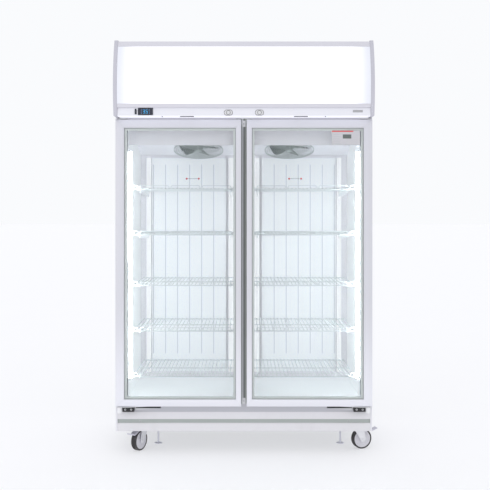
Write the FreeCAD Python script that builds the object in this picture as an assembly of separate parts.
"""Two-door upright glass door merchandiser with a lit canopy, on castors.

Frame: origin on the floor under the middle of the whole object, +X to the viewer's right,
-Y towards the viewer, +Z up.  Millimetres throughout.
"""
import FreeCAD
import Part
import math
import os

V = FreeCAD.Vector

# ---------------------------------------------------------------- overall sizes
WIDTH = 1250.0              # over the side panels
DOOR_HEIGHT = 1384.0
BACK_Y = 375.0              # outer face of the rear panel
DOOR_FRONT_Y = -283.0       # front face of the doors
PANEL_BOTTOM_Z = 109.0      # lower edge of side panels and kick panel
BASE_Z = 130.0              # underside of the base pan
DOOR_BOTTOM = 239.0
MACHINE_H = 323.8           # machine compartment over the insulated box
HALF = WIDTH / 2
DOOR_TOP = DOOR_BOTTOM + DOOR_HEIGHT

# ---------------------------------------------------------------- walls
SKIN = 1.2                  # outer sheet
LINER = 2.0                 # inner sheet
WALL = 58.0                 # insulated wall, skin and liner included
FLANGE = 9.5                # front return of the side panels
BASE_SHEET = 3.0
FIT = 0.5                   # assembly gap between sheet parts
RUN_CLEAR = 0.05            # radial running clearance of pins and shafts
OVERCUT = 1.0               # how far a cutter passes the face it cuts
DECK_Z = DOOR_BOTTOM - 36.0         # top of the sheet under the floor insulation
FLOOR_Z = DOOR_BOTTOM + 31.0        # inside floor
RAIL_TOP_OPEN = DOOR_TOP - 31.0     # lower edge of the top rail
CEILING_Z = DOOR_TOP - 23.0         # inside ceiling
ROOF_Z = CEILING_Z + WALL + 3.2     # top of the insulated box
LID_Z = ROOF_Z + MACHINE_H          # top of the machine compartment
INNER_HALF = HALF - WALL
SKIN_HALF = HALF - SKIN

# ---------------------------------------------------------------- doors
DOOR_DEPTH = 42.0
DOOR_GAP = 8.0              # between door back and cabinet face, filled by the gasket
DOOR_SIDE = 5.5             # side panel face to door edge
CENTRE_GAP = 26.0           # between the two doors
OUTER_STILE = 42.0
INNER_STILE = 26.0
TOP_BAR = 41.0
BOTTOM_BAR = 34.0
GLASS_THICK = 20.0
GLASS_SETBACK = 6.0         # door front to glass
PANE = 4.0
GLASS_BITE = 10.0           # depth of the glass in the frame
SPACER_SHOW = 12.0          # edge seal seen inside the frame
GLASS_CLEAR = 0.5
GASKET_WIDTH = 16.0
GASKET_HINGE_INSET = 24.0   # hinge edge of the door to the gasket
GASKET_FREE_INSET = 3.0
GASKET_END_INSET = 8.0
GASKET_CLEAR = 0.3
PIN_R = 5.0
PIN_DEPTH = 20.0
PIVOT_INSET = 19.5          # door edge to hinge axis
PIVOT_BACK = 16.0           # door front to hinge axis
DOOR_BACK_Y = DOOR_FRONT_Y + DOOR_DEPTH
FACE_Y = DOOR_BACK_Y + DOOR_GAP
DOOR_OUT = HALF - DOOR_SIDE
DOOR_IN = CENTRE_GAP / 2
PIVOT_X = DOOR_OUT - PIVOT_INSET
PIVOT_Y = DOOR_FRONT_Y + PIVOT_BACK
GLASS_Y = DOOR_FRONT_Y + GLASS_SETBACK

# ---------------------------------------------------------------- cabinet face
FACE_T = 12.0
MULLION_W = 76.0
MULLION_T = 28.0
END_PLATE_T = 2.0
END_PLATE_W = 16.0
END_PLATE_H = 30.0
SHELL_FRONT_Y = FACE_Y + FACE_T
MULLION_ENDS = [DOOR_BOTTOM + 17.0, DOOR_TOP - 17.0]

# ---------------------------------------------------------------- hinges and closers
HINGE_T = 3.0
HINGE_REACH = 195.5         # hinge axis to the inner tip of the bottom bracket
HINGE_OUT = 11.0            # hinge axis to the outer end of the brackets
HINGE_HIGH = 30.0           # face height at the axis
HINGE_LOW = 15.0            # and at the tip
BUSH_R = 11.0
CLOSER_H = 24.0
CLOSER_L = 58.0
CLOSER_FROM = 12.0          # hinge axis to the closer body
HINGE_TOP = DOOR_BOTTOM - 2.0
CLOSER_Z = HINGE_TOP - HINGE_T - CLOSER_H / 2
CLOSER_Y = FACE_Y - 38.0

# ---------------------------------------------------------------- canopy
CANOPY_IN = 8.0             # side panel face to canopy end, each side
CAP_SHOW = 18.0             # front width of each end cap
CAP_RIM = 12.0
CAP_SHEET = 3.0
BULGE_BOTTOM_Y = DOOR_FRONT_Y - 78.0
BULGE_MID_Y = DOOR_FRONT_Y - 92.0
BULGE_TOP_Y = DOOR_FRONT_Y - 45.0
CANOPY_BOTTOM = DOOR_TOP + 9.0
CANOPY_TOP = LID_Z + 10.0
BULGE_MID_Z = (CANOPY_BOTTOM + CANOPY_TOP) / 2 + 21.5
FASCIA_TOP = CANOPY_BOTTOM + 38.0
TRIM_TOP = FASCIA_TOP + 18.0
SIGN_TOP = CANOPY_TOP - 32.0
RAIL_TOP = CANOPY_TOP - 5.0
FASCIA_T = 1.5
SIGN_T = 3.0
SIGN_INSET = 1.0
RAIL_T = 10.0
TRAY_BACK = 20.0            # light tray ahead of the cabinet face
BAR_R = 11.0
BAR_D = 16.0
CANOPY_HALF = HALF - CANOPY_IN
BETWEEN_CAPS = CANOPY_HALF - CAP_SHOW - FIT

# ---------------------------------------------------------------- controls
CONTROL_Z = CANOPY_BOTTOM + 20.0
CONTROLLER_X = -HALF + 159.5
CONTROLLER_W = 71.0
CONTROLLER_H = 34.0
CONTROLLER_PROUD = 4.0
CONTROLLER_BODY = (62.0, 26.0, 50.0)
SWITCH_X = CONTROLLER_X - 46.25
SWITCH_W = 9.5
SWITCH_H = 27.5
ROCKER_REST = 6.0           # degrees the rocker leans when switched on
ROCKER_PIVOT_Y = BULGE_BOTTOM_Y + 3.0
ROCKER_PIN_R = 1.2
ROCKER_PIN_OUT = 0.5        # pin beyond each side of the rocker
LOCK_X = 73.5
LOCK_Z = CANOPY_BOTTOM + 15.0
LOCK_R = 8.0
LOCK_TUBE_R = 11.0
LOCK_PROUD = 4.0
ESC_W = 38.0
ESC_H = 24.0
ESC_T = 3.0
CAM_LENGTH = 35.0
CAM_H = 10.0
CAM_T = 3.0
CAM_Y = DOOR_FRONT_Y - 9.0  # cam drops just ahead of the door

# ---------------------------------------------------------------- interior
DUCT_GAP = 13.0             # air path behind the duct panels
DUCT_SHEET = 2.0
SHELF_SHARES = [0.04, 0.24, 0.435, 0.65, 0.85]     # height of each shelf up the standards
SHELF_LIFT = 17.0           # foot of its bracket slot to a shelf
SHELF_SIDE_GAP = 19.0       # side wall to shelf end
SHELF_IN = 45.0
SHELF_FRONT_GAP = 38.0      # liner front edge to shelf front
FRAME_R = 3.0
WIRE_R = 2.0
WIRE_PITCH = 19.0
LIP = 16.0
DIP_PITCH = 153.0
DIP_FIRST = 30.5            # outer shelf end to the first dip
DIP_HALF = 10.0
WELD = 0.6                  # how far crossing wires sink into each other
STANDARD_W = 25.0
STANDARD_D = 10.0
STANDARD_WALL = 2.0
SLOT_PITCH = 25.0
SLOT_W = 5.0
SLOT_H = 12.0
BRACKET_T = 2.5
BRACKET_REAR = 33.0
BRACKET_TIP = 12.0
BRACKET_LENGTH = 430.0
PANEL_IN = 98.0
GROOVE_PITCH = 66.0
GROOVE_W = 4.0
LED_W = 17.0
LED_D = 14.0
LED_LENS = 5.0
BAND_DROP = 96.0            # ceiling to the lower edge of the front band
COVER_T = 1.5
TRAY_LIP = 15.0
FAN_PANEL_SLOPE = 16.0      # degrees, rising towards the door
FAN_PANEL_DROP = 113.0      # ceiling to the rear edge of the fan panel
FAN_X = 242.0
FAN_SETBACK = 131.0         # fan centre ahead of the duct panel
GUARD_R = 130.0
GUARD_WIRE = 1.2
GUARD_HUB_R = 16.0
GUARD_PITCH = 12.0
FAN_HOLE = 8.0              # guard radius less hole radius
FAN_R = 112.0
SHAFT_R = 4.0
EVAP_LIFT = 18.0            # fan disc above the fan panel
EVAP_MOTOR_R = 24.0
LINER_BACK_Y = BACK_Y - WALL
DUCT_Y = LINER_BACK_Y - DUCT_GAP
SHELF_OUT = INNER_HALF - SHELF_SIDE_GAP
SHELF_FRONT_Y = SHELL_FRONT_Y + SHELF_FRONT_GAP
SHELF_BACK_Y = DUCT_Y - STANDARD_D - 2.0
STANDARD_X = [71.0, INNER_HALF - 47.0]
STANDARD_BOTTOM = FLOOR_Z + 30.0
STANDARD_TOP = CEILING_Z - 130.0
SLOT_COUNT = int((STANDARD_TOP - STANDARD_BOTTOM) // SLOT_PITCH)
SHELF_LEVELS = [STANDARD_BOTTOM + SLOT_PITCH * round(share * SLOT_COUNT) + SHELF_LIFT
                for share in SHELF_SHARES]
PANEL_OUT = STANDARD_X[1] - STANDARD_W / 2 - 3.0
GROOVE_BOTTOM = FLOOR_Z + 128.0
GROOVE_TOP = CEILING_Z - 166.0
LED_BOTTOM = FLOOR_Z + 86.0
LED_TOP = CEILING_Z - 122.0
LED_Y = SHELL_FRONT_Y + 16.0
BAND_Y = SHELL_FRONT_Y + 18.0
BAND_BOTTOM = CEILING_Z - BAND_DROP
TRAY_Z = BAND_BOTTOM + 14.0
FAN_PANEL_REAR_Z = CEILING_Z - FAN_PANEL_DROP
FAN_PANEL_FRONT_Y = SHELL_FRONT_Y + 181.0
SLOPE = math.tan(math.radians(FAN_PANEL_SLOPE))
FAN_Y = DUCT_Y - FAN_SETBACK
FAN_Z = FAN_PANEL_REAR_Z + SLOPE * FAN_SETBACK
FAN_AXIS = V(0, math.sin(math.radians(FAN_PANEL_SLOPE)), math.cos(math.radians(FAN_PANEL_SLOPE)))

# ---------------------------------------------------------------- machine compartment
CONDENSER_X = -270.0
CONDENSER_HALF = 160.0
CONDENSER_D = 50.0
CONDENSER_FAN_R = 118.0
CONDENSER_Z = ROOF_Z + 153.8
CONDENSER_Y = BACK_Y - 135.0
CONDENSER_FAN_Y = CONDENSER_Y - 40.0
COMPRESSOR_X = 270.0
COMPRESSOR_Y = 120.0
COMPRESSOR_R = 85.0
LOUVRE_W = 320.0
LOUVRE_H = 8.0
LOUVRE_PITCH = 24.0
LOUVRE_ROWS = 9
LOUVRE_X = (CONDENSER_X, 250.0)
VENT_ROWS = 8
GLAND_X = -HALF + 125.0
GLAND_Z = ROOF_Z + 58.8
GLAND_R = 14.0
CORD_R = 5.5
TUBE_R = 4.8

# ---------------------------------------------------------------- base
KICK_T = 1.5
KICK_TOP = DECK_Z
KICK_RETURN = 9.0
GROOVE_LO = PANEL_BOTTOM_Z + 38.0
GROOVE_HI = GROOVE_LO + 21.0
GROOVE_IN = 6.0
KICK_SCREWS = [-HALF + 120.0, 0.0, HALF - 115.0]
SCREW_Z = (GROOVE_LO + GROOVE_HI) / 2
CASTOR_LEFT_X = -HALF + 122.0
CASTOR_RIGHT_X = HALF - 69.0
CASTOR_FRONT_Y = FACE_Y + 86.0
CASTOR_REAR_Y = BACK_Y - 75.0
WHEEL_R = 50.0
WHEEL_W = 32.0
TREAD = 9.0
TRAIL = 30.0
PLATE_T = 4.0
PLATE_HALF_X = 47.5
PLATE_HALF_Y = 37.5
BOLT_INSET = 8.5
KINGPIN_R = 6.0
AXLE_R = 5.0
LEG_T = 3.0
LEG_GAP = 2.5
PEDAL_X = 42.0              # brake lever pin, from the swivel axis
PEDAL_Z = 104.0
PEDAL_REACH = 112.0         # brake lever tip, from the swivel axis
PEDAL_HALF = 14.0
PEDAL_PIN_R = 2.5
PEDAL_EYE_R = 4.5
FORK_TOP = BASE_Z - PLATE_T - 2.0
CROWN_Z = FORK_TOP - 11.0
FOOT_LEFT_X = CASTOR_LEFT_X + 68.0
FOOT_RIGHT_X = CASTOR_RIGHT_X - 66.0
FOOT_Y = CASTOR_FRONT_Y + 101.0     # behind the circle that a castor and its pedal sweep
FOOT_Z = 0.0
FOOT_R = 20.0
FOOT_T = 6.0
FOOT_ROD_R = 5.0
FOOT_TRAVEL = 28.0          # how far a foot winds up off the floor
RIGHT_TRAIL = 16.9          # way the right front wheel trails, in degrees from +X
# name, swivel axis x and y, and the way the wheel trails
CASTORS = [
    ("front_left", CASTOR_LEFT_X, CASTOR_FRONT_Y, -118.9),
    ("front_right", CASTOR_RIGHT_X, CASTOR_FRONT_Y, RIGHT_TRAIL),
    ("rear_left", CASTOR_LEFT_X, CASTOR_REAR_Y, -100.0),
    ("rear_right", CASTOR_RIGHT_X, CASTOR_REAR_Y, -75.0),
]
# The right brake pedal stands out past the cabinet, so the cabinet stands a little left
# of the middle of the space the whole object takes.
PEDAL_OUT = (CASTOR_RIGHT_X + PEDAL_REACH * math.cos(math.radians(RIGHT_TRAIL))
             + PEDAL_HALF * math.sin(math.radians(RIGHT_TRAIL)))
MIDDLE_X = (HALF - PEDAL_OUT) / 2


# ================================================================ helpers
def box(x0, x1, y0, y1, z0, z1):
    return Part.makeBox(x1 - x0, y1 - y0, z1 - z0, V(x0, y0, z0))


def polygon(points):
    return Part.Face(Part.makePolygon(points + [points[0]]))


def prism_x(yz, x0, x1):
    return polygon([V(x0, y, z) for y, z in yz]).extrude(V(x1 - x0, 0, 0))


def prism_y(xz, y0, y1):
    return polygon([V(x, y0, z) for x, z in xz]).extrude(V(0, y1 - y0, 0))


def prism_z(xy, z0, z1):
    return polygon([V(x, y, z0) for x, y in xy]).extrude(V(0, 0, z1 - z0))


def rod(radius, start, end):
    start, end = V(*start), V(*end)
    return Part.makeCylinder(radius, (end - start).Length, start, end - start)


def mirrored(shape):
    return shape.mirror(V(0, 0, 0), V(1, 0, 0))


def both(shape):
    return [shape, mirrored(shape)]


def save(node, solids):
    shape = solids[0] if len(solids) == 1 else Part.makeCompound(solids)
    shape.translated(V(MIDDLE_X, 0, 0)).exportStep("parts/%s.step" % node)


# ================================================================ outer cabinet
def side_panel():
    """Right-hand side sheet with its narrow front return."""
    sheet = box(HALF - SKIN, HALF, FACE_Y, BACK_Y, PANEL_BOTTOM_Z, LID_Z)
    flange = box(HALF - FLANGE, HALF - SKIN, FACE_Y, FACE_Y + SKIN, PANEL_BOTTOM_Z, ROOF_Z)
    return sheet.fuse(flange).removeSplitter()


def rear_panel():
    """Back sheet with louvres for the machine compartment."""
    sheet = box(-SKIN_HALF, SKIN_HALF, BACK_Y - SKIN, BACK_Y, BASE_Z, LID_Z)
    slots = []
    for centre in LOUVRE_X:
        for row in range(LOUVRE_ROWS):
            z = ROOF_Z + 60.0 + row * LOUVRE_PITCH
            slots.append(box(centre - LOUVRE_W / 2, centre + LOUVRE_W / 2,
                             BACK_Y - 2 * SKIN, BACK_Y + SKIN, z, z + LOUVRE_H))
    gland_hole = rod(GLAND_R + 0.2, (GLAND_X, BACK_Y - 5, GLAND_Z), (GLAND_X, BACK_Y + 5, GLAND_Z))
    return sheet.cut(slots + [gland_hole])


def deck_sheets():
    """Steel sheets under the floor insulation and over the ceiling insulation."""
    floor = box(-SKIN_HALF, SKIN_HALF, SHELL_FRONT_Y, BACK_Y - SKIN, DECK_Z - SKIN, DECK_Z)
    roof = box(-SKIN_HALF, SKIN_HALF, SHELL_FRONT_Y, BACK_Y - SKIN, ROOF_Z - SKIN, ROOF_Z)
    return [floor, roof]


def base_pan():
    """Heavy base tray: bottom sheet with front, rear and side upstands."""
    inner = SKIN_HALF - BASE_SHEET
    front = SHELL_FRONT_Y
    rear = BACK_Y - SKIN
    top = DECK_Z - SKIN
    outer = box(-SKIN_HALF, SKIN_HALF, front, rear, BASE_Z, top)
    hollow = box(-inner, inner, front + BASE_SHEET, rear - BASE_SHEET, BASE_Z + BASE_SHEET,
                 top + OVERCUT)
    holes = []
    for x in (FOOT_LEFT_X, FOOT_RIGHT_X):
        holes.append(rod(FOOT_ROD_R + RUN_CLEAR, (x, FOOT_Y, BASE_Z - 1), (x, FOOT_Y, BASE_Z + 10)))
    return outer.cut([hollow] + holes)


def insulation_foam():
    """Foamed-in-place insulation: one U-shaped shell, open at the front."""
    outer = box(-SKIN_HALF, SKIN_HALF, SHELL_FRONT_Y, BACK_Y - SKIN, DECK_Z, ROOF_Z - SKIN)
    hollow = box(-INNER_HALF - LINER, INNER_HALF + LINER, SHELL_FRONT_Y - 1,
                 LINER_BACK_Y + LINER, FLOOR_Z - LINER, CEILING_Z + LINER)
    return outer.cut(hollow)


def inner_liner():
    """Food-side sheets: two sides, back, floor and ceiling."""
    y0, y1 = SHELL_FRONT_Y, LINER_BACK_Y
    side = box(INNER_HALF, INNER_HALF + LINER, y0, y1, FLOOR_Z, CEILING_Z)
    back = box(-INNER_HALF - LINER, INNER_HALF + LINER, y1, y1 + LINER, FLOOR_Z, CEILING_Z)
    span = INNER_HALF + LINER
    floor = box(-span, span, y0, y1 + LINER, FLOOR_Z - LINER, FLOOR_Z)
    ceiling = box(-span, span, y0, y1 + LINER, CEILING_Z, CEILING_Z + LINER)
    return both(side) + [back, floor, ceiling]


def face_frame():
    """Front stiles and rails the gaskets close on, and the centre mullion."""
    y0, y1 = FACE_Y, SHELL_FRONT_Y
    stile = box(INNER_HALF, HALF - FLANGE, y0, y1, DECK_Z, ROOF_Z)
    bottom = box(-INNER_HALF, INNER_HALF, y0, y1, DECK_Z, FLOOR_Z)
    top = box(-INNER_HALF, INNER_HALF, y0, y1, RAIL_TOP_OPEN, ROOF_Z)
    mullion = box(-MULLION_W / 2, MULLION_W / 2, y0, y0 + MULLION_T, FLOOR_Z, RAIL_TOP_OPEN)
    ends = []
    for z in MULLION_ENDS:
        ends.append(box(-END_PLATE_W / 2, END_PLATE_W / 2, y0 - END_PLATE_T, y0,
                        z - END_PLATE_H / 2, z + END_PLATE_H / 2))
    return both(stile) + [bottom, top, mullion] + ends


def kick_panel():
    """Pressed kick panel with a recessed groove for its screws."""
    half = HALF - FLANGE - FIT / 2
    front = FACE_Y - KICK_T
    back = FACE_Y
    into = GROOVE_IN
    bend = 2.0
    outline = [(front, PANEL_BOTTOM_Z), (front, GROOVE_LO), (front + into, GROOVE_LO + bend),
               (front + into, GROOVE_HI - bend), (front, GROOVE_HI), (front, KICK_TOP),
               (back, KICK_TOP), (back, GROOVE_HI + 1), (back + into, GROOVE_HI - bend + 1),
               (back + into, GROOVE_LO + bend - 1), (back, GROOVE_LO - 1), (back, PANEL_BOTTOM_Z)]
    sheet = prism_x(outline, -half, half)
    lip = box(-half, half, back, back + KICK_RETURN, PANEL_BOTTOM_Z, PANEL_BOTTOM_Z + KICK_T)
    holes = [rod(2.5, (x, FACE_Y - 8, SCREW_Z), (x, FACE_Y + 12, SCREW_Z)) for x in KICK_SCREWS]
    return sheet.fuse(lip).cut(holes)


def kick_supports():
    """Posts from the base pan to the kick panel, one behind each screw."""
    y0 = FACE_Y + GROOVE_IN
    posts = []
    for x in KICK_SCREWS:
        posts.append(box(x - 15, x + 15, y0, SHELL_FRONT_Y, SCREW_Z - 8, SCREW_Z + 8))
    return posts


# ================================================================ doors
def mitred(outer, inner):
    """Four bars between two nested rectangles in XZ, given as x0, x1, z0, z1."""
    ox0, ox1, oz0, oz1 = outer
    ix0, ix1, iz0, iz1 = inner
    corners_out = [(ox0, oz0), (ox1, oz0), (ox1, oz1), (ox0, oz1)]
    corners_in = [(ix0, iz0), (ix1, iz0), (ix1, iz1), (ix0, iz1)]
    bars = []
    for i in range(4):
        j = (i + 1) % 4
        outline = [corners_out[i], corners_out[j], corners_in[j], corners_in[i]]
        bars.append(prism_y(outline, DOOR_FRONT_Y, DOOR_BACK_Y))
    return bars


def glass_limits():
    """Outline of the sealed glass unit of the right-hand door."""
    return (DOOR_IN + INNER_STILE - GLASS_BITE, DOOR_OUT - OUTER_STILE + GLASS_BITE,
            DOOR_BOTTOM + BOTTOM_BAR - GLASS_BITE, DOOR_TOP - TOP_BAR + GLASS_BITE)


def door_frame():
    """Right-hand door frame: four mitred bars with the glass groove and pin holes."""
    outer = (DOOR_IN, DOOR_OUT, DOOR_BOTTOM, DOOR_TOP)
    inner = (DOOR_IN + INNER_STILE, DOOR_OUT - OUTER_STILE,
             DOOR_BOTTOM + BOTTOM_BAR, DOOR_TOP - TOP_BAR)
    gx0, gx1, gz0, gz1 = glass_limits()
    y0 = GLASS_Y - GLASS_CLEAR
    y1 = GLASS_Y + GLASS_THICK + GLASS_CLEAR
    groove = box(gx0 - GLASS_CLEAR, gx1 + GLASS_CLEAR, y0, y1, gz0 - GLASS_CLEAR, gz1 + GLASS_CLEAR)
    hole_r = PIN_R + RUN_CLEAR
    low = rod(hole_r, (PIVOT_X, PIVOT_Y, DOOR_BOTTOM - 1), (PIVOT_X, PIVOT_Y, DOOR_BOTTOM + PIN_DEPTH))
    high = rod(hole_r, (PIVOT_X, PIVOT_Y, DOOR_TOP - PIN_DEPTH), (PIVOT_X, PIVOT_Y, DOOR_TOP + 1))
    return [bar.cut([groove, low, high]) for bar in mitred(outer, inner)]


def door_glass():
    """Sealed unit of the right-hand door: outer pane, spacer frame, inner pane."""
    gx0, gx1, gz0, gz1 = glass_limits()
    back = GLASS_Y + GLASS_THICK
    front_pane = box(gx0, gx1, GLASS_Y, GLASS_Y + PANE, gz0, gz1)
    rear_pane = box(gx0, gx1, back - PANE, back, gz0, gz1)
    edge = GLASS_BITE + SPACER_SHOW
    ring = box(gx0, gx1, GLASS_Y + PANE, back - PANE, gz0, gz1)
    hollow = box(gx0 + edge, gx1 - edge, GLASS_Y, back, gz0 + edge, gz1 - edge)
    return [front_pane, ring.cut(hollow), rear_pane]


def door_gasket():
    """Magnetic bellows gasket on the back of the right-hand door."""
    x0, x1 = DOOR_IN + GASKET_FREE_INSET, DOOR_OUT - GASKET_HINGE_INSET
    z0, z1 = DOOR_BOTTOM + GASKET_END_INSET, DOOR_TOP - GASKET_END_INSET
    y0, y1 = DOOR_BACK_Y, FACE_Y - GASKET_CLEAR
    ring = box(x0, x1, y0, y1, z0, z1)
    hollow = box(x0 + GASKET_WIDTH, x1 - GASKET_WIDTH, y0 - 1, y1 + 1,
                 z0 + GASKET_WIDTH, z1 - GASKET_WIDTH)
    return ring.cut(hollow)


def bottom_hinge():
    """Right-hand bottom bracket: tapered face plate, top flange and pivot pin."""
    out = PIVOT_X + HINGE_OUT
    tip = PIVOT_X - HINGE_REACH
    top = HINGE_TOP
    face = prism_y([(tip, top - HINGE_LOW), (out, top - HINGE_HIGH), (out, top), (tip, top)],
                   FACE_Y - HINGE_T, FACE_Y)
    slot = box(tip + 36, tip + 58, FACE_Y - 10, FACE_Y + 5, top - 14, top - 8)
    hole = rod(4.0, (tip + 18, FACE_Y - 10, top - 9), (tip + 18, FACE_Y + 5, top - 9))
    flange = prism_z([(tip, FACE_Y), (tip, FACE_Y - 12), (PIVOT_X - 40, DOOR_FRONT_Y + 1),
                      (out, DOOR_FRONT_Y + 1), (out, FACE_Y)], top - HINGE_T, top)
    pin = rod(PIN_R, (PIVOT_X, PIVOT_Y, top - HINGE_T), (PIVOT_X, PIVOT_Y, DOOR_BOTTOM + PIN_DEPTH - 2))
    return face.cut([slot, hole]).fuse([flange, pin])


def top_hinge():
    """Right-hand top plate with its pin reaching down into the door."""
    low = DOOR_TOP + HINGE_T
    plate = box(PIVOT_X - 40, PIVOT_X + HINGE_OUT, DOOR_FRONT_Y + 1, FACE_Y, low, low + HINGE_T)
    pin = rod(PIN_R, (PIVOT_X, PIVOT_Y, DOOR_TOP - PIN_DEPTH + 2), (PIVOT_X, PIVOT_Y, low + HINGE_T))
    return plate.fuse(pin)


def hinge_bush():
    """White bush under the bottom bracket, round the closer's torsion bar."""
    low = HINGE_TOP - HINGE_HIGH - 2
    return rod(BUSH_R, (PIVOT_X, PIVOT_Y, low), (PIVOT_X, PIVOT_Y, HINGE_TOP - HINGE_T))


def closer_block():
    """Right-hand torsion closer body under the bottom hinge plate."""
    half = CLOSER_H / 2
    outer = PIVOT_X - CLOSER_FROM
    body = box(outer - CLOSER_L, outer, CLOSER_Y, FACE_Y - HINGE_T - FIT,
               CLOSER_Z - half, CLOSER_Z + half)
    return body.makeChamfer(2.0, body.Edges)


# ================================================================ canopy
def canopy_curve(shift):
    """Three-point arc of the canopy front in YZ, set back by shift."""
    a = V(0, BULGE_BOTTOM_Y + shift, CANOPY_BOTTOM)
    b = V(0, BULGE_MID_Y + shift, BULGE_MID_Z)
    c = V(0, BULGE_TOP_Y + shift, CANOPY_TOP)
    return Part.Arc(a, b, c).toShape()


def canopy_profile(shift, back_y, x0, x1):
    """Solid bounded in front by the canopy arc and behind by a plane."""
    arc = canopy_curve(shift)
    low, high = arc.Vertexes[0].Point, arc.Vertexes[1].Point
    rear_low, rear_high = V(0, back_y, low.z), V(0, back_y, high.z)
    edges = [arc, Part.makeLine(high, rear_high), Part.makeLine(rear_high, rear_low),
             Part.makeLine(rear_low, low)]
    solid = Part.Face(Part.Wire(edges)).extrude(V(x1 - x0, 0, 0))
    solid.translate(V(x0, 0, 0))
    return solid


def curved_slab(depth, z0, z1, half, setback=0.0):
    """Slice of given depth following the canopy arc between two heights."""
    front = canopy_profile(setback, 0.0, -half, half)
    behind = canopy_profile(setback + depth, 50.0, -half - 1, half + 1)
    window = box(-half - 2, half + 2, -500, 0, z0, z1)
    return front.cut(behind).common(window)


def canopy_end():
    """Right-hand moulded end cap, hollow behind its front rim."""
    outer = CANOPY_HALF
    body = canopy_profile(0.0, FACE_Y - FIT, outer - CAP_SHOW, outer)
    pocket = canopy_profile(CAP_RIM, FACE_Y + 5, outer - CAP_SHOW - 1, outer - CAP_SHEET)
    window = box(0, outer, -500, 0, CANOPY_BOTTOM + CAP_SHEET, CANOPY_TOP - CAP_SHEET)
    return body.cut(pocket.common(window))


def canopy_rails():
    """Bottom trim and top rail that hold the sign panel, and the top cover."""
    half = BETWEEN_CAPS
    trim = curved_slab(RAIL_T, FASCIA_TOP, TRIM_TOP - FIT, half)
    rail = curved_slab(RAIL_T, SIGN_TOP + FIT, RAIL_TOP - SKIN, half)
    cover = box(-half, half, BULGE_TOP_Y + 2, FACE_Y - FIT, RAIL_TOP - SKIN, RAIL_TOP)
    return [trim, rail, cover]


def sign_panel():
    """Translucent curved sign panel."""
    half = BETWEEN_CAPS
    return curved_slab(SIGN_T, TRIM_TOP, SIGN_TOP, half, SIGN_INSET)


def sign_light_tray():
    """White tray behind the sign with two light bars."""
    half = BETWEEN_CAPS
    back = FACE_Y - FIT - TRAY_BACK
    face = back - SKIN
    tray = box(-half, half, face, back, FASCIA_TOP + FIT, RAIL_TOP - SKIN - FIT)
    bars = []
    for share in (0.27, 0.73):
        z = TRIM_TOP + share * (SIGN_TOP - TRIM_TOP)
        bars.append(box(-half + 30, half - 30, face - BAR_D, face, z - BAR_R, z + BAR_R))
    return [tray] + bars


def oval(width, height, x, z, y0, y1):
    """Rounded-end plate lying across the fascia."""
    r = height / 2
    reach = width / 2 - r
    middle = box(x - reach, x + reach, y0, y1, z - r, z + r)
    ends = [rod(r, (x + s * reach, y0, z), (x + s * reach, y1, z)) for s in (-1, 1)]
    return middle.fuse(ends).removeSplitter()


def fascia_cuts():
    """Openings of the control strip: controller, switch, locks, cams and striker slots."""
    y0, y1 = BULGE_BOTTOM_Y - 5, BULGE_BOTTOM_Y + 5
    low, high = CANOPY_BOTTOM - OVERCUT, CANOPY_BOTTOM + FASCIA_T + OVERCUT
    w, h = CONTROLLER_BODY[0] / 2 + FIT, CONTROLLER_BODY[1] / 2 + FIT
    cuts = [box(CONTROLLER_X - w, CONTROLLER_X + w, y0, y1, CONTROL_Z - h, CONTROL_Z + h)]
    w, h = SWITCH_W / 2, SWITCH_H / 2
    cuts.append(box(SWITCH_X - w, SWITCH_X + w, y0, y1, CONTROL_Z - h, CONTROL_Z + h))
    reach = CAM_LENGTH / 2 + CAM_H / 2
    for side in (-1, 1):
        x = side * LOCK_X
        cuts.append(rod(LOCK_TUBE_R + FIT, (x, y0, LOCK_Z), (x, y1, LOCK_Z)))
        middle = x - side * CAM_LENGTH / 2
        cuts.append(box(middle - reach, middle + reach, CAM_Y - 2.5, CAM_Y + CAM_T + 2.5, low, high))
        slot = side * 270.5
        cuts.append(box(slot - 33.5, slot + 33.5, BULGE_BOTTOM_Y + 15, BULGE_BOTTOM_Y + 27, low, high))
    return cuts


def control_fascia():
    """Front control strip with its return forming the canopy underside."""
    half = BETWEEN_CAPS
    y = BULGE_BOTTOM_Y
    front = box(-half, half, y, y + FASCIA_T, CANOPY_BOTTOM, FASCIA_TOP - FIT)
    under = box(-half, half, y, FACE_Y - FIT, CANOPY_BOTTOM, CANOPY_BOTTOM + FASCIA_T)
    return front.fuse(under).cut(fascia_cuts())


def lock_escutcheons():
    """Oval plates with the tubes that carry the lock barrels."""
    y = BULGE_BOTTOM_Y
    pieces = []
    for side in (-1, 1):
        x = side * LOCK_X
        plate = oval(ESC_W, ESC_H, x, LOCK_Z, y - ESC_T, y)
        tube = rod(LOCK_TUBE_R, (x, y - ESC_T, LOCK_Z), (x, CAM_Y - 1, LOCK_Z))
        bore = rod(LOCK_R + RUN_CLEAR, (x, y - 5, LOCK_Z), (x, CAM_Y, LOCK_Z))
        pieces.append(plate.fuse(tube).cut(bore))
    return pieces


def lock_barrel(side):
    """Key barrel with a cam that drops in front of the door when turned."""
    x = side * LOCK_X
    y = BULGE_BOTTOM_Y
    barrel = rod(LOCK_R, (x, y - LOCK_PROUD, LOCK_Z), (x, CAM_Y + CAM_T, LOCK_Z))
    keyway = box(x - 0.8, x + 0.8, y - 6, y + 6, LOCK_Z - 4, LOCK_Z + 4)
    tail = sorted([x, x - side * CAM_LENGTH])
    cam = box(tail[0], tail[1], CAM_Y, CAM_Y + CAM_T, LOCK_Z - CAM_H / 2, LOCK_Z + CAM_H / 2)
    return barrel.cut(keyway).fuse(cam)


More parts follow.
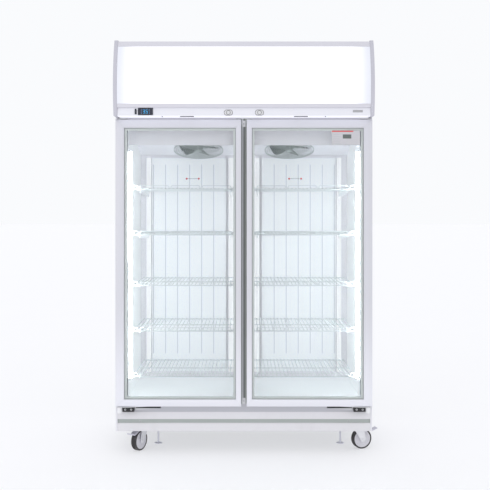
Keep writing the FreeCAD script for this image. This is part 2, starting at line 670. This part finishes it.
def controller():
    """Temperature controller: front bezel with its body behind the strip."""
    y = BULGE_BOTTOM_Y
    w, h = CONTROLLER_W / 2, CONTROLLER_H / 2
    bezel = box(CONTROLLER_X - w, CONTROLLER_X + w, y - CONTROLLER_PROUD, y, CONTROL_Z - h, CONTROL_Z + h)
    w, h = CONTROLLER_BODY[0] / 2, CONTROLLER_BODY[1] / 2
    body = box(CONTROLLER_X - w, CONTROLLER_X + w, y, y + CONTROLLER_BODY[2], CONTROL_Z - h, CONTROL_Z + h)
    return bezel.fuse(body).removeSplitter()


def light_switch_rocker():
    """Rocker of the canopy light switch, pressed in at the top."""
    pivot_y = ROCKER_PIVOT_Y
    reach = SWITCH_H / 2 - 1.0
    outline = [(-7.0, 0), (-4.6, reach), (-1.0, reach), (6.0, 7.0), (6.0, -7.0), (-1.0, -reach),
               (-4.6, -reach)]
    half = SWITCH_W / 2 - 0.6
    solid = prism_x([(pivot_y + y, CONTROL_Z + z) for y, z in outline], SWITCH_X - half, SWITCH_X + half)
    reach = half + ROCKER_PIN_OUT
    pin = rod(ROCKER_PIN_R, (SWITCH_X - reach, pivot_y, CONTROL_Z), (SWITCH_X + reach, pivot_y, CONTROL_Z))
    solid = solid.fuse(pin)
    solid.rotate(V(SWITCH_X, pivot_y, CONTROL_Z), V(1, 0, 0), -ROCKER_REST)
    return solid


# ================================================================ interior
def shelf_wires():
    """Wires of the right-hand shelf at height zero (top of its frame wires)."""
    x0, x1 = SHELF_IN, SHELF_OUT
    y0, y1 = SHELF_FRONT_Y, SHELF_BACK_Y
    zf = -FRAME_R
    wires = []
    for y in (y0 + FRAME_R, (y0 + y1) / 2, y1 - FRAME_R):
        wires.append(rod(FRAME_R, (x0, y, zf), (x1, y, zf)))
    count = int((x1 - x0 - 2 * WIRE_R) // WIRE_PITCH)
    margin = (x1 - x0 - count * WIRE_PITCH) / 2
    zw = WIRE_R - WELD
    for i in range(count + 1):
        x = x0 + margin + i * WIRE_PITCH
        wires.append(rod(WIRE_R, (x, y0, zw), (x, y1, zw)))
    return wires


def shelf_lip():
    """Raised front wire of the right-hand shelf, dipping to the frame at each joint."""
    y = SHELF_FRONT_Y - WIRE_R + WELD
    points = []
    last = SHELF_IN + WIRE_R
    points.append((SHELF_OUT - WIRE_R, LIP - WIRE_R))
    dip = SHELF_OUT - DIP_FIRST
    while dip - DIP_HALF > last:
        for dx, z in ((DIP_HALF, LIP - WIRE_R), (0.0, -FRAME_R), (-DIP_HALF, LIP - WIRE_R)):
            points.append((dip + dx, z))
        dip -= DIP_PITCH
    points.append((last, LIP - WIRE_R))
    pieces = []
    for (xa, za), (xb, zb) in zip(points, points[1:]):
        pieces.append(rod(WIRE_R, (xa, y, za), (xb, y, zb)))
        pieces.append(Part.makeSphere(WIRE_R, V(xb, y, zb)))
    for x in (SHELF_OUT - WIRE_R, SHELF_IN + WIRE_R):
        pieces.append(rod(WIRE_R, (x, y, -FRAME_R), (x, y, LIP - WIRE_R)))
        pieces.append(Part.makeSphere(WIRE_R, V(x, y, LIP - WIRE_R)))
    return pieces


def shelf():
    """Right-hand wire shelf, frame top at height zero: the welded grid and its front lip."""
    wires = shelf_wires()
    lip = shelf_lip()
    grid = wires[0].fuse(wires[1:])
    return [grid, lip[0].fuse(lip[1:]).cut(grid)]


def shelf_bracket(x, z):
    """Cantilever bracket under a shelf, hooked into its slotted standard."""
    top = z - 2 * FRAME_R
    rear = DUCT_Y - STANDARD_D
    front = rear - BRACKET_LENGTH
    outline = [(rear, top), (front, top), (front, top - BRACKET_TIP), (rear, top - BRACKET_REAR)]
    return prism_x(outline, x - BRACKET_T / 2, x + BRACKET_T / 2)


def shelf_standard(x):
    """Slotted standard on the rear wall: a shallow channel."""
    half = STANDARD_W / 2
    front, back = DUCT_Y - STANDARD_D, DUCT_Y + DUCT_SHEET
    wall = STANDARD_WALL
    body = box(x - half, x + half, front, back, STANDARD_BOTTOM, STANDARD_TOP)
    hollow = box(x - half + wall, x + half - wall, front + wall, back + OVERCUT,
                 STANDARD_BOTTOM - OVERCUT, STANDARD_TOP + OVERCUT)
    slots = []
    for i in range(SLOT_COUNT):
        z = STANDARD_BOTTOM + (i + 0.5) * SLOT_PITCH
        slots.append(box(x - SLOT_W / 2, x + SLOT_W / 2, front - OVERCUT, front + wall + OVERCUT,
                         z - SLOT_H / 2, z + SLOT_H / 2))
    return body.cut([hollow] + slots)


def duct_panel():
    """Right-hand air duct panel with pressed vertical grooves."""
    sheet = box(PANEL_IN, PANEL_OUT, DUCT_Y, DUCT_Y + DUCT_SHEET, STANDARD_BOTTOM, STANDARD_TOP)
    grooves = []
    for i in range(1, int((PANEL_OUT - PANEL_IN) // GROOVE_PITCH) + 1):
        x = PANEL_IN + i * GROOVE_PITCH
        grooves.append(box(x, x + GROOVE_W, DUCT_Y - OVERCUT, DUCT_Y + DUCT_SHEET / 2,
                           GROOVE_BOTTOM, GROOVE_TOP))
    return sheet.cut(grooves)


def light_strip():
    """Right-hand interior light: aluminium channel and clear diffuser."""
    x1 = INNER_HALF
    x0 = x1 - LED_W
    channel = box(x0 + LED_LENS, x1, LED_Y, LED_Y + LED_D, LED_BOTTOM, LED_TOP)
    diffuser = box(x0, x0 + LED_LENS, LED_Y, LED_Y + LED_D, LED_BOTTOM, LED_TOP)
    return [channel, diffuser]


def fan_panel_z(y):
    return FAN_PANEL_REAR_Z + SLOPE * (DUCT_Y - y)


def evaporator_cover():
    """Front band with its drip tray, and the sloping fan panel with two fan openings."""
    half = INNER_HALF - 2 * FIT
    t = COVER_T
    top = CEILING_Z - FIT
    y0, y1 = FAN_PANEL_FRONT_Y, DUCT_Y + DUCT_SHEET
    band = box(-half, half, BAND_Y, BAND_Y + t, BAND_BOTTOM, top)
    tray = box(-half, half, BAND_Y + t, y0, TRAY_Z, TRAY_Z + t)
    lip = box(-half, half, y0 - t, y0, TRAY_Z + t, TRAY_Z + TRAY_LIP)
    panel = prism_x([(y1, fan_panel_z(y1)), (y1, fan_panel_z(y1) + t), (y0, fan_panel_z(y0) + t),
                     (y0, fan_panel_z(y0))], -half, half)
    hanger = box(-half, half, y0, y0 + t, fan_panel_z(y0) + t / 3, top)
    holes = []
    for side in (-1, 1):
        centre = V(side * FAN_X, FAN_Y, FAN_Z)
        holes.append(Part.makeCylinder(GUARD_R - FAN_HOLE, 40, centre - FAN_AXIS * 20, FAN_AXIS))
    front = band.fuse([tray, lip]).removeSplitter()
    return [front, panel.cut(holes).fuse(hanger)]


def fan_guard(side):
    """Wire guard: rings and spokes on the cabinet side of the fan panel."""
    wire = GUARD_WIRE
    centre = V(side * FAN_X, FAN_Y, FAN_Z) - FAN_AXIS * (wire + 0.1)
    count = int((GUARD_R - GUARD_HUB_R) // GUARD_PITCH)
    radii = [GUARD_R - i * GUARD_PITCH for i in range(count + 1)]
    rings = [Part.makeTorus(radius, wire, centre, FAN_AXIS) for radius in radii]
    across = V(1, 0, 0)
    along = FAN_AXIS.cross(across)
    spokes = []
    for i in range(8):
        angle = i * math.pi / 4
        direction = across * math.cos(angle) + along * math.sin(angle)
        start = centre + direction * 10 - FAN_AXIS * (2 * wire - WELD)
        spokes.append(Part.makeCylinder(wire, GUARD_R - 10, start, direction))
    hub = Part.makeCylinder(GUARD_HUB_R, 3.0, centre - FAN_AXIS * 4.0, FAN_AXIS)
    return hub.fuse(rings + spokes)


def fan_blades(radius, hub_r, hub_h, count, pitch_deg):
    """Axial fan about local +Z: hub with flat pitched blades."""
    hub = Part.makeCylinder(hub_r, hub_h, V(0, 0, -hub_h / 2))
    bore = Part.makeCylinder(SHAFT_R + RUN_CLEAR, hub_h + 2, V(0, 0, -hub_h / 2 - 1))
    blades = []
    for i in range(count):
        blade = Part.makeBox(radius - hub_r + 4, radius * 0.5, 1.5, V(hub_r - 4, -radius * 0.25, -0.75))
        blade.rotate(V(0, 0, 0), V(1, 0, 0), pitch_deg)
        blade.rotate(V(0, 0, 0), V(0, 0, 1), i * 360.0 / count)
        blades.append(blade)
    rim = Part.makeCylinder(radius, radius, V(0, 0, -radius / 2))
    return hub.fuse(blades).common(rim).cut(bore)


def place_along(shape, centre, axis):
    """Turn local +Z onto axis and move the origin to centre."""
    shape.Placement = FreeCAD.Placement(centre, FreeCAD.Rotation(V(0, 0, 1), axis))
    return shape


def evaporator_fan(side):
    fan = fan_blades(FAN_R, 24.0, 16.0, 5, 24.0)
    return place_along(fan, V(side * FAN_X, FAN_Y, FAN_Z) + FAN_AXIS * EVAP_LIFT, FAN_AXIS)


def evaporator_motor(side):
    """Motor with its shaft and a two-arm strap to the fan panel."""
    base = V(side * FAN_X, FAN_Y, FAN_Z) + FAN_AXIS * (EVAP_LIFT + 10.0)
    body = Part.makeCylinder(EVAP_MOTOR_R, 26.0, base, FAN_AXIS)
    shaft = Part.makeCylinder(SHAFT_R, 18.0, base - FAN_AXIS * 16.0, FAN_AXIS)
    strap = Part.makeBox(2 * GUARD_R, 18, 2, V(-GUARD_R, -9, 0))
    legs = []
    for end in (-1, 1):
        x = end * GUARD_R - (3 if end > 0 else 0)
        legs.append(Part.makeBox(3, 18, EVAP_LIFT + 26.0, V(x, -9, -EVAP_LIFT - 26.0)))
    frame = strap.fuse(legs)
    frame = place_along(frame, base + FAN_AXIS * 18.0, FAN_AXIS)
    return body.fuse([shaft, frame])


def condenser_motor():
    """Condenser fan motor on a pedestal."""
    y = CONDENSER_FAN_Y
    body = rod(35.0, (CONDENSER_X, y - 70, CONDENSER_Z), (CONDENSER_X, y - 12, CONDENSER_Z))
    shaft = rod(SHAFT_R, (CONDENSER_X, y - 20, CONDENSER_Z), (CONDENSER_X, y + 9, CONDENSER_Z))
    post = box(CONDENSER_X - 15, CONDENSER_X + 15, y - 60, y - 25, ROOF_Z, CONDENSER_Z - 20)
    foot = box(CONDENSER_X - 40, CONDENSER_X + 40, y - 75, y - 15, ROOF_Z, ROOF_Z + 3)
    return body.fuse([shaft, post, foot])


def condenser_fan():
    fan = fan_blades(CONDENSER_FAN_R, 30.0, 16.0, 5, 24.0)
    return place_along(fan, V(CONDENSER_X, CONDENSER_FAN_Y, CONDENSER_Z), V(0, 1, 0))


def fin_coil(x0, x1, y0, y1, z0, z1, pitch, tube_at):
    """Fins on horizontal tubes, with an end plate at each side."""
    fins = []
    count = int((x1 - x0) // pitch)
    for i in range(count + 1):
        x = x0 + i * pitch
        fins.append(box(x, x + 1.0, y0, y1, z0, z1))
    tubes = [rod(TUBE_R, (x0 - 12, y, z), (x1 + 12, y, z)) for y, z in tube_at]
    return tubes[0].fuse(tubes[1:] + fins)


def evaporator_coil():
    half = INNER_HALF - 67.0
    y0, y1 = BAND_Y + 18.0, FAN_PANEL_FRONT_Y - 12.0
    tubes = [(y, TRAY_Z + 40.0) for y in (y0 + 30, y0 + 70, y0 + 110)]
    return fin_coil(-half, half, y0, y1, TRAY_Z + 6, CEILING_Z - 6, 25.0, tubes)


def condenser_coil():
    y0, y1 = CONDENSER_Y, CONDENSER_Y + CONDENSER_D
    low, high = ROOF_Z + 13.8, LID_Z - 30.0
    tubes = [((y0 + y1) / 2, CONDENSER_Z + step * 70.0) for step in (-1.5, -0.5, 0.5, 1.5)]
    return fin_coil(CONDENSER_X - CONDENSER_HALF, CONDENSER_X + CONDENSER_HALF, y0, y1, low, high,
                    16.0, tubes)


# ================================================================ machine compartment
def compressor():
    """Hermetic compressor: domed can on a foot plate with rubber feet."""
    x, y, r = COMPRESSOR_X, COMPRESSOR_Y, COMPRESSOR_R
    can = Part.makeCylinder(r, 120.0, V(x, y, ROOF_Z + 45))
    dome = Part.makeSphere(r, V(x, y, ROOF_Z + 165))
    dome = dome.common(box(x - r, x + r, y - r, y + r, ROOF_Z + 165, ROOF_Z + 205))
    plate = box(x - 100, x + 100, y - 70, y + 70, ROOF_Z + 18, ROOF_Z + 22)
    neck = Part.makeCylinder(60.0, 30.0, V(x, y, ROOF_Z + 20))
    feet = []
    for sx in (-82, 82):
        for sy in (-52, 52):
            feet.append(Part.makeCylinder(11.0, 19.0, V(x + sx, y + sy, ROOF_Z)))
    terminals = box(x + r - 15, x + r + 33, y - 30, y + 30, ROOF_Z + 70, ROOF_Z + 130)
    return can.fuse([dome, plate, neck, terminals] + feet)


def machine_cover():
    """Lid over the machine compartment, with vent slots."""
    lid = box(-SKIN_HALF, SKIN_HALF, FACE_Y, BACK_Y - SKIN, LID_Z - SKIN, LID_Z)
    slots = []
    for i in range(VENT_ROWS):
        y = BACK_Y - 315.0 + i * 30.0
        slots.append(box(CONDENSER_X - LOUVRE_W / 2, CONDENSER_X + LOUVRE_W / 2, y, y + LOUVRE_H,
                         LID_Z - 2 * SKIN, LID_Z + SKIN))
    return lid.cut(slots)


def cord_gland():
    """Strain relief where the supply cord leaves the rear panel."""
    inside = BACK_Y - SKIN
    flange = rod(GLAND_R + 4, (GLAND_X, inside - 3, GLAND_Z), (GLAND_X, inside, GLAND_Z))
    body = rod(GLAND_R, (GLAND_X, BACK_Y - 22, GLAND_Z), (GLAND_X, BACK_Y, GLAND_Z))
    bore = rod(CORD_R, (GLAND_X, BACK_Y - 23, GLAND_Z), (GLAND_X, BACK_Y + 5, GLAND_Z))
    return flange.fuse(body).cut(bore)


# ================================================================ castors and feet
def castor_plate():
    """Top plate with its kingpin, swivel axis at the local origin."""
    plate = box(-PLATE_HALF_X, PLATE_HALF_X, -PLATE_HALF_Y, PLATE_HALF_Y, BASE_Z - PLATE_T, BASE_Z)
    pin = rod(KINGPIN_R, (0, 0, CROWN_Z - 4), (0, 0, BASE_Z - PLATE_T))
    head = rod(KINGPIN_R + 4, (0, 0, CROWN_Z - 6), (0, 0, CROWN_Z - 3.5))
    return plate.fuse([pin, head])


def castor_fork():
    """Swivel head, two legs and the axle; the wheel trails towards local +X."""
    race = rod(26.0, (0, 0, CROWN_Z), (0, 0, FORK_TOP))
    leg_in = WHEEL_W / 2 + LEG_GAP
    leg_out = leg_in + LEG_T
    crown = box(-24, 34, -leg_out, leg_out, CROWN_Z - 3, CROWN_Z)
    crown = crown.cut(rod(KINGPIN_R + 5, (0, 0, CROWN_Z - 5), (0, 0, CROWN_Z)))
    bore = rod(KINGPIN_R + RUN_CLEAR, (0, 0, CROWN_Z - 5), (0, 0, FORK_TOP + 5))
    legs = []
    for side in (-1, 1):
        ya, yb = sorted((side * leg_in, side * leg_out))
        web = prism_y([(-24, CROWN_Z), (34, CROWN_Z), (TRAIL + 15, WHEEL_R), (TRAIL - 15, WHEEL_R)], ya, yb)
        end = rod(15.0, (TRAIL, ya, WHEEL_R), (TRAIL, yb, WHEEL_R))
        legs.append(web.fuse(end))
        ears = prism_y([(20, CROWN_Z), (PEDAL_X + 4, CROWN_Z - 4), (PEDAL_X + 5, PEDAL_Z - 3),
                        (PEDAL_X - 6, PEDAL_Z - 5), (20, PEDAL_Z - 4)], ya, yb)
        legs.append(ears)
    axle = rod(AXLE_R, (TRAIL, -leg_out - 3, WHEEL_R), (TRAIL, leg_out + 3, WHEEL_R))
    legs.append(rod(PEDAL_PIN_R, (PEDAL_X, -leg_out, PEDAL_Z), (PEDAL_X, leg_out, PEDAL_Z)))
    return race.fuse([crown] + legs + [axle]).cut(bore)


def castor_wheel():
    """Hub with its tyre, about the axle through local (TRAIL, 0)."""
    half = WHEEL_W / 2
    y = V(0, 1, 0)
    centre = V(TRAIL, -half, WHEEL_R)
    tyre_r = WHEEL_R - TREAD
    tyre = Part.makeCylinder(WHEEL_R, WHEEL_W, centre, y)
    rims = [edge for edge in tyre.Edges if len(edge.Vertexes) == 1]
    tyre = tyre.makeChamfer(4.0, rims)
    tyre = tyre.cut(Part.makeCylinder(tyre_r, WHEEL_W, centre, y))
    hub = Part.makeCylinder(tyre_r, WHEEL_W - 4, centre + V(0, 2, 0), y)
    for start in (-half + 2, half - 8):
        ring = Part.makeCylinder(tyre_r - 6, 6, V(TRAIL, start, WHEEL_R), y)
        ring = ring.cut(Part.makeCylinder(13, 6, V(TRAIL, start, WHEEL_R), y))
        hub = hub.cut(ring)
    hub = hub.fuse(Part.makeCylinder(12, WHEEL_W + 2, centre - V(0, 1, 0), y))
    hub = hub.cut(Part.makeCylinder(AXLE_R + RUN_CLEAR, WHEEL_W + 10, centre - V(0, 5, 0), y))
    return [tyre, hub]


def brake_pedal():
    """Brake lever on the fork's cross pin, pressed down, its tread turned up beyond the wheel."""
    px, pz, tip = PEDAL_X, PEDAL_Z, PEDAL_REACH
    arm = prism_y([(px, pz - PEDAL_EYE_R), (px + 42, pz - 20), (tip, pz - 9), (tip - 2, pz - 4),
                   (px + 41, pz - 14), (px + 2, pz + 4)], -PEDAL_HALF, PEDAL_HALF)
    eye = rod(PEDAL_EYE_R, (px, -PEDAL_HALF, pz), (px, PEDAL_HALF, pz))
    bore = rod(PEDAL_PIN_R + RUN_CLEAR, (px, -30, pz), (px, 30, pz))
    return arm.fuse(eye).cut(bore)


def placed(shape, x, y, angle):
    """Copy of a castor piece turned about its swivel axis and moved to its place."""
    copy = shape.copy()
    copy.rotate(V(0, 0, 0), V(0, 0, 1), angle)
    copy.translate(V(x, y, 0))
    return copy


def levelling_foot(x):
    """Threaded rod with a round foot, wound down on to the floor."""
    disc = rod(FOOT_R, (x, FOOT_Y, FOOT_Z), (x, FOOT_Y, FOOT_Z + FOOT_T))
    return disc.fuse(rod(FOOT_ROD_R, (x, FOOT_Y, FOOT_Z), (x, FOOT_Y, DECK_Z - FOOT_TRAVEL - 4)))


def button_head(x, y, z, radius):
    """Round screw head on a face looking towards the viewer."""
    return rod(radius, (x, y - 2.5, z), (x, y, z))


def fasteners():
    """Visible screws of the kick panel, mullion plates, closers and castor plates."""
    groove_y = FACE_Y - KICK_T + GROOVE_IN
    heads = []
    for x in KICK_SCREWS:
        shank = rod(2.4, (x, groove_y - 1, SCREW_Z), (x, groove_y + KICK_T - 0.1, SCREW_Z))
        heads.append(button_head(x, groove_y, SCREW_Z, 5.0).fuse(shank))
    for z in MULLION_ENDS:
        heads.append(button_head(0.0, FACE_Y - END_PLATE_T, z, 3.5))
    for side in (-1, 1):
        for share in (0.25, 0.75):
            x = side * (PIVOT_X - CLOSER_FROM - share * CLOSER_L)
            heads.append(button_head(x, CLOSER_Y, CLOSER_Z, 5.0))
    low = BASE_Z - PLATE_T
    for _, x, y, _ in CASTORS:
        for dx in (BOLT_INSET - PLATE_HALF_X, PLATE_HALF_X - BOLT_INSET):
            for dy in (BOLT_INSET - PLATE_HALF_Y, PLATE_HALF_Y - BOLT_INSET):
                heads.append(rod(5.0, (x + dx, y + dy, low - 3.5), (x + dx, y + dy, low)))
    return heads


# ================================================================ build
def main():
    os.makedirs("parts", exist_ok=True)
    save("side_panels", both(side_panel()))
    save("rear_panel", [rear_panel()])
    save("deck_sheets", deck_sheets())
    save("base_pan", [base_pan()] + kick_supports())
    save("insulation_foam", [insulation_foam()])
    save("inner_liner", inner_liner())
    save("face_frame", face_frame())
    save("kick_panel", [kick_panel()])
    save("door_frame_right", door_frame())
    save("door_frame_left", [mirrored(bar) for bar in door_frame()])
    save("door_glass_right", door_glass())
    save("door_glass_left", [mirrored(piece) for piece in door_glass()])
    save("door_gasket_right", [door_gasket()])
    save("door_gasket_left", [mirrored(door_gasket())])
    hinges = [bottom_hinge(), hinge_bush(), top_hinge()]
    save("hinge_brackets", hinges + [mirrored(piece) for piece in hinges])
    save("closer_blocks", both(closer_block()))
    save("canopy_ends", both(canopy_end()))
    save("canopy_rails", canopy_rails())
    save("sign_panel", [sign_panel()])
    save("sign_light_tray", sign_light_tray())
    save("control_fascia", [control_fascia()])
    save("lock_escutcheons", lock_escutcheons())
    save("lock_barrel_left", [lock_barrel(-1)])
    save("lock_barrel_right", [lock_barrel(1)])
    save("controller", [controller()])
    save("light_switch_rocker", [light_switch_rocker()])
    one_shelf = shelf()
    for level, z in enumerate(SHELF_LEVELS, start=1):
        right = [piece.translated(V(0, 0, z)) for piece in one_shelf]
        save("shelf_level_%d" % level, right + [mirrored(piece) for piece in right])
    brackets = [shelf_bracket(s * x, z) for z in SHELF_LEVELS for x in STANDARD_X for s in (-1, 1)]
    save("shelf_brackets", brackets)
    save("shelf_standards", [shelf_standard(s * x) for x in STANDARD_X for s in (-1, 1)])
    save("duct_panels", both(duct_panel()))
    strip = light_strip()
    save("interior_light_strips", strip + [mirrored(piece) for piece in strip])
    save("evaporator_cover", evaporator_cover())
    save("evaporator_coil", [evaporator_coil()])
    save("fan_guards", [fan_guard(-1), fan_guard(1)])
    save("fan_motors", [evaporator_motor(-1), evaporator_motor(1), condenser_motor()])
    save("evaporator_fan_left", [evaporator_fan(-1)])
    save("evaporator_fan_right", [evaporator_fan(1)])
    save("condenser_fan", [condenser_fan()])
    save("condenser_coil", [condenser_coil()])
    save("compressor", [compressor()])
    save("machine_cover", [machine_cover()])
    save("cord_gland", [cord_gland()])
    plate, fork, wheel = castor_plate(), castor_fork(), castor_wheel()
    pedal = brake_pedal()
    save("castor_plates", [placed(plate, x, y, 0.0) for _, x, y, _ in CASTORS])
    for name, x, y, angle in CASTORS:
        save("castor_fork_" + name, [placed(fork, x, y, angle)])
        save("castor_wheel_" + name, [placed(piece, x, y, angle) for piece in wheel])
        if name.startswith("front"):
            save("brake_pedal_" + name[6:], [placed(pedal, x, y, angle)])
    save("levelling_foot_left", [levelling_foot(FOOT_LEFT_X)])
    save("levelling_foot_right", [levelling_foot(FOOT_RIGHT_X)])
    save("fasteners", fasteners())


main()
